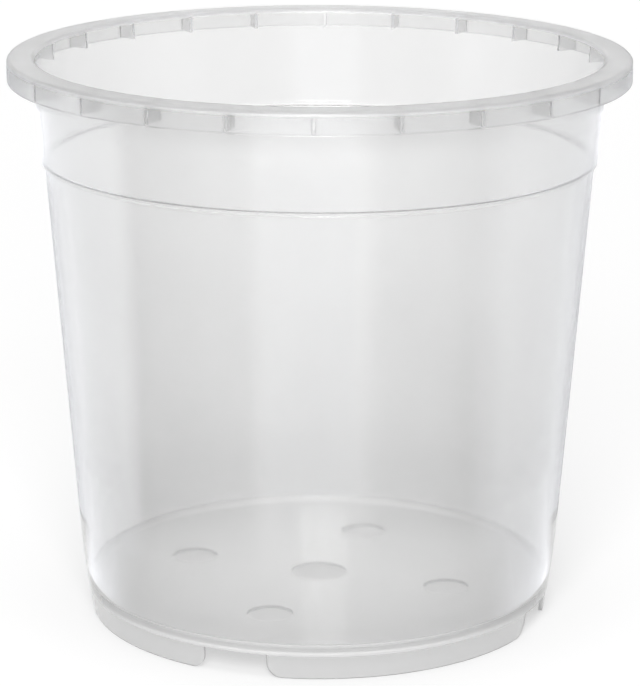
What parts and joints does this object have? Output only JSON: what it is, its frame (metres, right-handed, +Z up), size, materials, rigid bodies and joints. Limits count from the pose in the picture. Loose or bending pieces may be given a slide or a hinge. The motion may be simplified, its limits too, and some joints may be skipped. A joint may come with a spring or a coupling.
{
  "type": "orchid pot",
  "caption": "Clear round orchid pot with a ribbed rim, a stepped collar, a tapered wall, a drained floor and feet parted by drainage notches.",
  "frame": {"origin": "centre of the circle that the feet stand on, on the standing plane", "axes": "+Z up along the pot's axis, out of the mouth; -Y towards the viewer of the picture, +X to that viewer's right"},
  "size_m": [0.21, 0.21, 0.194],
  "materials": {
    "clear_rim": "clear, slightly milky polypropylene, satin gloss, greyer where layers overlap",
    "clear_wall": "clear, slightly milky polypropylene, satin gloss",
    "clear_floor": "clear, slightly milky polypropylene, satin gloss",
    "clear_foot": "clear, slightly milky polypropylene, satin gloss"
  },
  "bodies": {
    "root": {"rim": "clear_rim", "collar": "clear_wall", "wall": "clear_wall", "floor": "clear_floor", "foot_1": "clear_foot", "foot_2": "clear_foot", "foot_3": "clear_foot", "foot_4": "clear_foot"}
  },
  "joints": []
}
